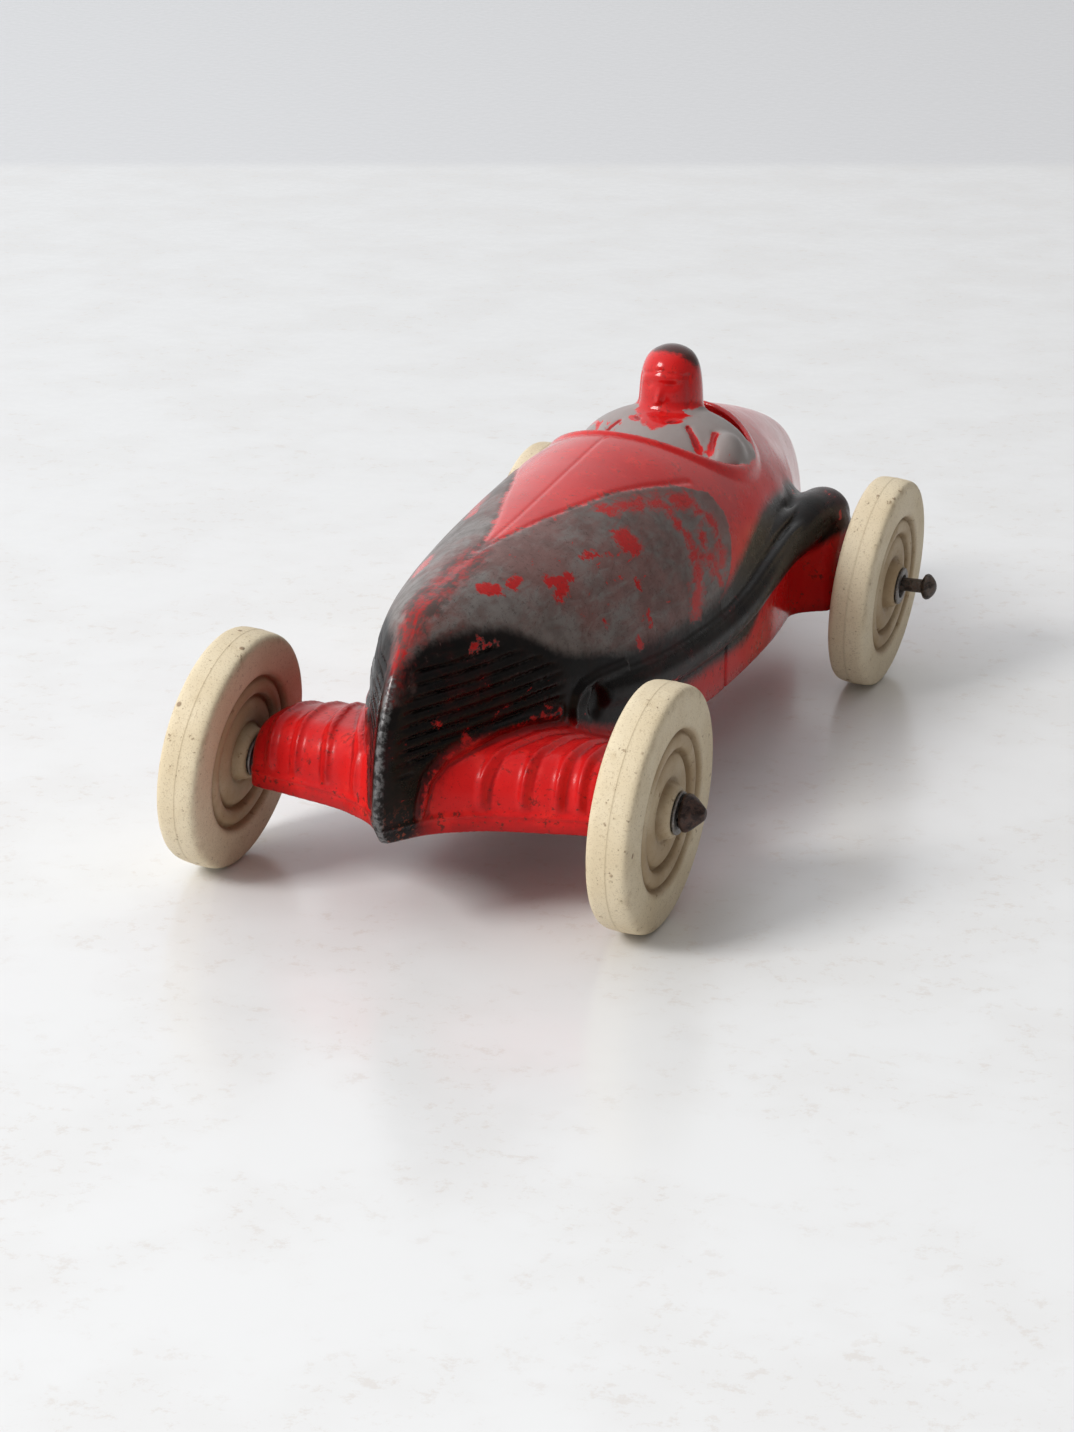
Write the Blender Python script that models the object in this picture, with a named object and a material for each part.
"""Moulded toy racing car on four loose rubber wheels.

A hollow one-piece body with the driver, exhausts and axle fairings moulded in,
two identical steel axles put in from opposite sides, and four wheels with metal
bushes that run on them. Length is along Y with the nose at -Y, +Z is up, and the
origin is on the ground under the middle of the car.
"""

import math

import bmesh
import bpy
from mathutils import Matrix, Vector

MM = 0.001

# Driving sizes, in millimetres. A "station" is a distance behind the front axle.
FRONT_AXLE_Y = -63.85
WHEELBASE = 105.0
AXLE_HEIGHT = 16.23
UNDERSIDE = 12.8
WALL = 2.6
OVERCUT = 2.0
BEYOND_BODY = 40.0

# Hull: station, half width, ridge height, height of the widest line.
HULL_SECTIONS = (
    (-18.7, 0.3, 18.6, 17.0),
    (-17.8, 0.9, 22.6, 17.4),
    (-16.9, 1.3, 26.8, 17.8),
    (-15.0, 2.1, 31.0, 18.5),
    (-13.0, 3.0, 34.0, 19.2),
    (-9.5, 4.6, 37.3, 20.6),
    (-4.8, 6.9, 40.5, 22.1),
    (3.2, 10.6, 41.6, 22.6),
    (14.0, 14.7, 42.7, 23.0),
    (25.0, 17.3, 43.5, 23.0),
    (37.0, 18.9, 44.7, 23.0),
    (49.0, 19.7, 46.0, 23.0),
    (61.0, 20.0, 47.0, 23.0),
    (75.0, 19.7, 46.5, 23.0),
    (90.0, 18.4, 44.8, 22.5),
    (103.0, 15.6, 42.4, 21.8),
    (112.0, 12.8, 40.1, 21.0),
    (120.0, 10.4, 37.8, 20.0),
    (128.0, 8.0, 35.2, 19.0),
    (135.0, 5.9, 32.4, 18.0),
    (140.0, 4.2, 29.6, 17.2),
    (144.0, 2.4, 26.0, 16.6),
    (146.3, 0.5, 19.5, 16.2),
)
CHIN_HEIGHT = 18.1
CHIN_CURVE = 0.12
CHIN_REACH = 13.0
SIDE_FOOT_HEIGHT = 15.1
ARCH_STEPS = 12

# Cavity under the hull.
CAVITY_START = -9.0
CAVITY_END = 138.0
CAVITY_SHOULDER = 2.0
COCKPIT_ROOF = 33.0
COCKPIT_ROOF_SPAN = (58.0, 106.0)

# Front fairing: half span, leading edge station, top height, trailing edge station.
FRONT_FAIRING = (
    (0.0, -13.0, 22.6, 31.0),
    (6.3, -9.6, 22.6, 31.0),
    (10.0, -7.6, 22.9, 30.0),
    (13.0, -6.6, 22.6, 29.0),
    (17.1, -5.6, 21.6, 27.0),
    (21.1, -4.6, 20.5, 25.0),
    (24.4, -4.0, 19.9, 23.0),
    (25.0, -3.4, 19.3, 22.0),
)
FAIRING_NOSE = 5.0
FAIRING_NOSE_SHARE = 0.3
FAIRING_NOSE_STEPS = 4
FAIRING_NOSE_DROP = 0.6
FAIRING_MIDDLE = (0.55, 0.5)
FAIRING_TAIL_SHARE = 0.35
FAIRING_LEAN = 0.3

# Rib on the front fairing: places across, then (offset across, lift) over the rib.
RIB_SPANS = (9.7, 14.6, 19.0, 21.7)
RIB_OUTLINE = ((-0.75, -0.4), (-0.2, 0.55), (0.2, 0.55), (0.75, -0.4))
RIB_SHORTER = 8.0

# Rear fairing, in the same columns.
REAR_FAIRING = (
    (0.0, 95.2, 28.6, 116.0),
    (17.0, 95.2, 28.6, 116.0),
    (19.6, 95.9, 28.2, 115.2),
    (21.6, 97.0, 27.6, 114.2),
    (22.7, 97.6, 27.0, 113.6),
    (23.2, 98.4, 26.2, 112.8),
)

# Exhaust pipe: station, centre height, distance from the middle, radius.
EXHAUST = (
    (12.6, 25.2, 12.9, 2.2),
    (18.0, 24.4, 14.6, 3.0),
    (28.0, 23.2, 16.8, 3.1),
    (40.0, 22.5, 18.1, 3.2),
    (53.0, 22.4, 18.9, 3.2),
    (65.0, 23.4, 19.1, 3.4),
    (76.0, 25.0, 18.8, 3.6),
    (88.0, 26.0, 18.2, 3.8),
    (98.0, 26.2, 18.1, 4.0),
    (106.0, 25.8, 18.6, 4.1),
    (111.0, 25.2, 18.8, 3.6),
)
EXHAUST_SIDES = 10

# Cockpit opening and driver.
COCKPIT_CENTRE = 81.0
COCKPIT_HALF_LENGTH = 18.6
COCKPIT_HALF_WIDTH = 14.6
COCKPIT_FLOOR = 36.4
COCKPIT_SIDES = 28
TORSO_CENTRE = (0.0, 85.5, 37.0)
TORSO_RADII = (13.4, 9.5, 8.9)
ARM_CENTRE = (10.9, 79.3, 39.6)
ARM_RADII = (2.6, 5.0, 3.2)
TORSO_MESH = (16, 10)
ARM_MESH = (12, 8)
HEAD_STATION = 88.5
HEAD_DEPTH_RATIO = 1.12
HEAD_PROFILE = ((42.0, 4.0), (44.5, 4.6), (47.0, 4.7), (50.0, 4.4), (52.4, 3.5), (54.0, 2.0))
HEAD_TOP = 54.6
HEAD_SIDES = 16

# Wheel, half of a section that is alike on both sides: distance from the mid plane, radius.
WHEEL_SIDES = 28
WHEEL_HALF_SECTION = (
    (3.5, 2.5),
    (3.5, 3.3),
    (2.0, 4.0),
    (2.0, 7.6),
    (2.5, 8.0),
    (2.5, 10.1),
    (2.9, 10.6),
    (2.9, 14.6),
    (2.5, 15.7),
    (1.7, 16.25),
)
WHEEL_BORE = 2.5
FRONT_WHEEL_X = 29.64
REAR_WHEEL_X = 28.25

# Bush: a double-flanged eyelet that lines the wheel's bore.
BUSH_BORE = 1.75
BUSH_RADIUS = 2.25
BUSH_FLANGE_RADIUS = 2.85
BUSH_FLANGE = (3.75, 4.1)
BUSH_SIDES = 20

# Lean of each wheel on its loose bore, in degrees, top towards +X.
WHEELS = (
    ("wheel_front_left", 1, 0.0, FRONT_WHEEL_X, 3.8),
    ("wheel_front_right", -1, 0.0, FRONT_WHEEL_X, 7.5),
    ("wheel_rear_left", 1, WHEELBASE, REAR_WHEEL_X, 5.2),
    ("wheel_rear_right", -1, WHEELBASE, REAR_WHEEL_X, 5.2),
)

# Axle: the rod runs from its cap to a formed barb.
AXLE_RADIUS = 1.05
AXLE_BETWEEN_STOPS = 69.6
CAP_BASE_X = 34.15
CAP_PROFILE = ((0.0, 2.45), (0.5, 2.5), (1.7, 1.75), (2.5, 1.1), (2.8, 0.7))
CAP_BORE = 1.3
CAP_BORE_DEPTH = 1.3
ROD_IN_CAP = 1.05
ROD_CHAMFER = 0.1
BARB_PROFILE = ((0.0, 1.2), (0.45, 1.9), (1.1, 1.95), (1.7, 1.45), (2.1, 0.95), (2.2, 0.5))
AXLE_BORE = 1.35
AXLE_SIDES = 20
SHARP_ANGLE = 32.0


def clear_scene():
    for item in list(bpy.data.objects):
        bpy.data.objects.remove(item)


def place(x, station, z):
    """A point of the car's frame, in metres, from millimetres behind the front axle."""
    return Vector((x, station + FRONT_AXLE_Y, z)) * MM


def make_material(name, colour, roughness, metallic=0.0):
    material = bpy.data.materials.new(name)
    material.use_nodes = True
    shader = material.node_tree.nodes["Principled BSDF"]
    shader.inputs["Base Color"].default_value = (*colour, 1.0)
    shader.inputs["Roughness"].default_value = roughness
    shader.inputs["Metallic"].default_value = metallic
    material.diffuse_color = (*colour, 1.0)
    return material


def make_object(name, mesh_data, material=None):
    """An object from a bmesh, with its faces pointing out."""
    bmesh.ops.recalc_face_normals(mesh_data, faces=mesh_data.faces)
    mesh = bpy.data.meshes.new(name)
    mesh_data.to_mesh(mesh)
    mesh_data.free()
    if material:
        mesh.materials.append(material)
    item = bpy.data.objects.new(name, mesh)
    bpy.context.collection.objects.link(item)
    return item


def make_tool(name, mesh_data):
    """A shape that only adds to or cuts another object."""
    tool = make_object(name, mesh_data)
    tool.hide_render = True
    tool.display_type = "WIRE"
    return tool


def combine(target, tool, operation):
    modifier = target.modifiers.new(tool.name, "BOOLEAN")
    modifier.operation = operation
    modifier.solver = "EXACT"
    modifier.object = tool


def loft(rings, closed_ends=True):
    """A skin through rings of points that all have the same count."""
    mesh_data = bmesh.new()
    rows = [[mesh_data.verts.new(point) for point in ring] for ring in rings]
    count = len(rows[0])
    for near, far in zip(rows, rows[1:]):
        for i in range(count):
            j = (i + 1) % count
            mesh_data.faces.new((near[i], near[j], far[j], far[i]))
    if closed_ends:
        mesh_data.faces.new(rows[0])
        mesh_data.faces.new(reversed(rows[-1]))
    return mesh_data


def lathe(profile, sides, first_angle=0.0):
    """A ring turned about local X from a closed outline of (x, radius) in millimetres."""
    mesh_data = bmesh.new()
    rows = []
    for k in range(sides):
        angle = first_angle + math.tau * k / sides
        c, s = math.cos(angle), math.sin(angle)
        rows.append([mesh_data.verts.new(Vector((x, r * c, r * s)) * MM) for x, r in profile])
    for k in range(sides):
        near, far = rows[k], rows[(k + 1) % sides]
        for i in range(len(profile)):
            j = (i + 1) % len(profile)
            mesh_data.faces.new((near[i], near[j], far[j], far[i]))
    return mesh_data


def turned_bar(profile, sides):
    """A bar turned about local X, closed at both ends, from an open (x, radius) outline."""
    rings = []
    for x, r in profile:
        steps = [math.tau * k / sides for k in range(sides)]
        rings.append([Vector((x, r * math.cos(a), r * math.sin(a))) * MM for a in steps])
    return loft(rings)


def hull_ring(station, half_width, ridge, widest, floor):
    """One hull section: two straight sides under an elliptical arch."""
    nose_share = max(0.0, 1.0 - (station - HULL_SECTIONS[0][0]) / CHIN_REACH)
    points = [(half_width, floor), (half_width, SIDE_FOOT_HEIGHT)]
    for k in range(ARCH_STEPS + 1):
        angle = math.pi * k / ARCH_STEPS
        height = widest + (ridge - widest) * math.sin(angle)
        points.append((half_width * math.cos(angle), height))
    points += [(-half_width, SIDE_FOOT_HEIGHT), (-half_width, floor)]
    ring = []
    for x, z in points:
        below = max(0.0, CHIN_HEIGHT - z)
        ring.append(place(x, station + nose_share * CHIN_CURVE * below * below, z))
    return ring


def hull_tool():
    rings = [hull_ring(*section, UNDERSIDE - OVERCUT) for section in HULL_SECTIONS]
    return loft(rings)


def cavity_tool():
    """The hollow under the hull, one wall inside it and low under the cockpit."""
    rings = []
    for station, half_width, ridge, widest in HULL_SECTIONS:
        if not CAVITY_START <= station <= CAVITY_END:
            continue
        roof = ridge - WALL
        if COCKPIT_ROOF_SPAN[0] <= station <= COCKPIT_ROOF_SPAN[1]:
            roof = COCKPIT_ROOF
        inner = half_width - WALL
        shoulder = min(widest, roof - CAVITY_SHOULDER)
        rings.append(hull_ring(station, inner, roof, shoulder, UNDERSIDE - 2.0 * OVERCUT))
    return loft(rings)


def fairing_section(half_span, leading, top, trailing):
    """A fairing's outline at one span: round nose, gently falling back."""
    bottom = UNDERSIDE - OVERCUT
    height = top - UNDERSIDE
    chord = trailing - leading
    nose = min(FAIRING_NOSE, FAIRING_NOSE_SHARE * chord)
    drop = FAIRING_NOSE_DROP * height
    points = [(leading + FAIRING_LEAN, bottom), (leading, top - drop)]
    for k in range(1, FAIRING_NOSE_STEPS + 1):
        angle = math.pi / 2 * k / FAIRING_NOSE_STEPS
        points.append((leading + nose * (1 - math.cos(angle)), top - drop * (1 - math.sin(angle))))
    middle_share, middle_sag = FAIRING_MIDDLE
    points.append((leading + middle_share * chord, top - middle_sag))
    points.append((trailing, UNDERSIDE + FAIRING_TAIL_SHARE * height))
    points.append((trailing + FAIRING_LEAN, bottom))
    return [(half_span, station, z) for station, z in points]


def fairing_tool(sections):
    """A fairing that runs right through the hull, from one end face to the other."""
    mirrored = [(-row[0], *row[1:]) for row in reversed(sections[1:])]
    rings = []
    for half_span, leading, top, trailing in mirrored + list(sections):
        rings.append([place(*p) for p in fairing_section(half_span, leading, top, trailing)])
    return loft(rings)


def rib_tool(span, side):
    """A raised hoop round the front fairing."""
    row = [r for r in FRONT_FAIRING if r[0] <= span][-1]
    after = FRONT_FAIRING[FRONT_FAIRING.index(row) + 1]
    share = (span - row[0]) / (after[0] - row[0])
    leading, top, trailing = (a + (b - a) * share for a, b in zip(row[1:], after[1:]))
    rings = []
    for offset, lift in RIB_OUTLINE:
        x = side * (span + offset)
        outline = fairing_section(x, leading - lift, top + lift, trailing - RIB_SHORTER)
        rings.append([place(*p) for p in outline])
    return loft(rings)


def exhaust_tool(side):
    rings = []
    for station, height, across, radius in EXHAUST:
        ring = []
        for k in range(EXHAUST_SIDES):
            angle = math.tau * (k + 0.5) / EXHAUST_SIDES
            x = side * (across + radius * math.cos(angle))
            ring.append(place(x, station, height + radius * math.sin(angle)))
        rings.append(ring)
    return loft(rings)


def ellipsoid_tool(centre, radii, segments, rings):
    mesh_data = bmesh.new()
    bmesh.ops.create_uvsphere(mesh_data, u_segments=segments, v_segments=rings, radius=1.0)
    size = Matrix.Diagonal((*(r * MM for r in radii), 1.0))
    move = Matrix.Translation(place(*centre)) @ size
    bmesh.ops.transform(mesh_data, matrix=move, verts=mesh_data.verts)
    return mesh_data


def cockpit_tool():
    """An egg-shaped well, open at the top."""
    rings = []
    for z in (COCKPIT_FLOOR, HEAD_TOP):
        ring = []
        for k in range(COCKPIT_SIDES):
            angle = math.tau * k / COCKPIT_SIDES
            x = COCKPIT_HALF_WIDTH * math.sin(angle)
            station = COCKPIT_CENTRE - COCKPIT_HALF_LENGTH * math.cos(angle)
            ring.append(place(x, station, z))
        rings.append(ring)
    return loft(rings)


def head_tool():
    """The driver's smooth helmeted head and neck."""
    rings = []
    for z, radius in HEAD_PROFILE:
        ring = []
        for k in range(HEAD_SIDES):
            angle = math.tau * k / HEAD_SIDES
            station = HEAD_STATION + radius * HEAD_DEPTH_RATIO * math.sin(angle)
            ring.append(place(radius * math.cos(angle), station, z))
        rings.append(ring)
    mesh_data = loft(rings, closed_ends=False)
    mesh_data.verts.ensure_lookup_table()
    mesh_data.faces.new(mesh_data.verts[:HEAD_SIDES])
    last = mesh_data.verts[-HEAD_SIDES:]
    tip = mesh_data.verts.new(place(0.0, HEAD_STATION, HEAD_TOP))
    for k in range(HEAD_SIDES):
        mesh_data.faces.new((last[k], last[(k + 1) % HEAD_SIDES], tip))
    return mesh_data


def box_tool(low, high):
    mesh_data = bmesh.new()
    bmesh.ops.create_cube(mesh_data, size=1.0)
    low, high = place(*low), place(*high)
    move = Matrix.Translation((low + high) / 2) @ Matrix.Diagonal((*(high - low), 1.0))
    bmesh.ops.transform(mesh_data, matrix=move, verts=mesh_data.verts)
    return mesh_data


def axle_bore_tool(station):
    mesh_data = turned_bar([(-BEYOND_BODY, AXLE_BORE), (BEYOND_BODY, AXLE_BORE)], AXLE_SIDES)
    shift = Matrix.Translation(place(0.0, station, AXLE_HEIGHT))
    bmesh.ops.transform(mesh_data, matrix=shift, verts=mesh_data.verts)
    return mesh_data


def build_body(material):
    body = make_object("body", hull_tool(), material)
    combine(body, make_tool("front_fairing", fairing_tool(FRONT_FAIRING)), "UNION")
    combine(body, make_tool("rear_fairing", fairing_tool(REAR_FAIRING)), "UNION")
    for side, side_name in ((1, "left"), (-1, "right")):
        combine(body, make_tool(f"exhaust_{side_name}", exhaust_tool(side)), "UNION")
        for number, span in enumerate(RIB_SPANS, 1):
            combine(body, make_tool(f"rib_{side_name}_{number}", rib_tool(span, side)), "UNION")
    combine(body, make_tool("cockpit_well", cockpit_tool()), "DIFFERENCE")
    torso = ellipsoid_tool(TORSO_CENTRE, TORSO_RADII, *TORSO_MESH)
    combine(body, make_tool("driver_torso", torso), "UNION")
    for side, side_name in ((1, "left"), (-1, "right")):
        centre = (side * ARM_CENTRE[0], *ARM_CENTRE[1:])
        arm = ellipsoid_tool(centre, ARM_RADII, *ARM_MESH)
        combine(body, make_tool(f"driver_arm_{side_name}", arm), "UNION")
    combine(body, make_tool("driver_head", head_tool()), "UNION")
    combine(body, make_tool("cavity", cavity_tool()), "DIFFERENCE")
    combine(body, make_tool("front_bore", axle_bore_tool(0.0)), "DIFFERENCE")
    combine(body, make_tool("rear_bore", axle_bore_tool(WHEELBASE)), "DIFFERENCE")
    front = HULL_SECTIONS[0][0] - BEYOND_BODY
    rear = HULL_SECTIONS[-1][0] + BEYOND_BODY
    underside = box_tool((-BEYOND_BODY, front, 0.0), (BEYOND_BODY, rear, UNDERSIDE))
    combine(body, make_tool("flat_underside", underside), "DIFFERENCE")
    return body


def empty_at(name, location, rotation=(0.0, 0.0, 0.0)):
    pivot = bpy.data.objects.new(name, None)
    pivot.location = location
    pivot.rotation_euler = rotation
    bpy.context.collection.objects.link(pivot)
    return pivot


def hang(item, pivot):
    """Put an object on a pivot, at the pivot's own origin."""
    item.parent = pivot


def wheel_mesh():
    """A ring that is alike on both sides, with a flat of the tread facing down."""
    near = list(WHEEL_HALF_SECTION)
    far = [(-x, r) for x, r in reversed(near)]
    return lathe(near + far, WHEEL_SIDES, math.pi / WHEEL_SIDES)


def bush_mesh():
    inner, outer = BUSH_FLANGE
    half = [
        (outer, BUSH_BORE),
        (outer, BUSH_FLANGE_RADIUS),
        (inner, BUSH_FLANGE_RADIUS),
        (inner, BUSH_RADIUS),
    ]
    return lathe(half + [(-x, r) for x, r in reversed(half)], BUSH_SIDES)


def axle_mesh():
    """The rod and its formed barb, with x = 0 at the cap's base and the barb at +x."""
    rod = [(-ROD_IN_CAP, AXLE_RADIUS - ROD_CHAMFER), (-ROD_IN_CAP + ROD_CHAMFER, AXLE_RADIUS)]
    barb = [(AXLE_BETWEEN_STOPS + x, r) for x, r in BARB_PROFILE]
    return turned_bar(rod + [(AXLE_BETWEEN_STOPS, AXLE_RADIUS)] + barb, AXLE_SIDES)


def cap_mesh():
    """A pointed cap with a blind bore, its base at x = 0 and its point at -x."""
    outside = [(-x, r) for x, r in CAP_PROFILE]
    bore = [(-CAP_BORE_DEPTH, CAP_BORE), (0.0, CAP_BORE)]
    return turned_bar(bore + outside, AXLE_SIDES)


def shade(item):
    item.data.shade_smooth()
    item.data.set_sharp_from_angle(angle=math.radians(SHARP_ANGLE))


def build_wheels(rubber, steel):
    wheel = wheel_mesh()
    bush = bush_mesh()
    for name, side, station, across, lean in WHEELS:
        centre = place(side * across, station, AXLE_HEIGHT)
        pivot = empty_at(f"{name}_pivot", centre, (0.0, math.radians(lean), 0.0))
        bush_name = name.replace("wheel", "bush")
        for piece_name, source, material in ((name, wheel, rubber), (bush_name, bush, steel)):
            piece = make_object(piece_name, source.copy(), material)
            shade(piece)
            hang(piece, pivot)
    wheel.free()
    bush.free()


def build_axles(steel, cap_steel):
    """Two identical axles, the rear one turned end for end."""
    for name, station, turn in (("front_axle", 0.0, math.pi), ("rear_axle", WHEELBASE, 0.0)):
        start = -CAP_BASE_X if turn == 0.0 else CAP_BASE_X
        pivot = empty_at(f"{name}_pivot", place(start, station, AXLE_HEIGHT), (0.0, 0.0, turn))
        rod = make_object(name, axle_mesh(), steel)
        cap = make_object(f"{name}_cap", cap_mesh(), cap_steel)
        for piece in (rod, cap):
            shade(piece)
            hang(piece, pivot)


def main():
    clear_scene()
    red = make_material("moulded_red", (0.52, 0.02, 0.02), 0.35)
    rubber = make_material("wheel_rubber", (0.72, 0.64, 0.48), 0.65)
    steel = make_material("dull_steel", (0.16, 0.13, 0.12), 0.5, 0.8)
    cap_steel = make_material("cap_steel", (0.1, 0.07, 0.06), 0.55, 0.7)
    bush_steel = make_material("bush_steel", (0.3, 0.29, 0.28), 0.45, 0.8)
    body = build_body(red)
    shade(body)
    build_wheels(rubber, bush_steel)
    build_axles(steel, cap_steel)


main()
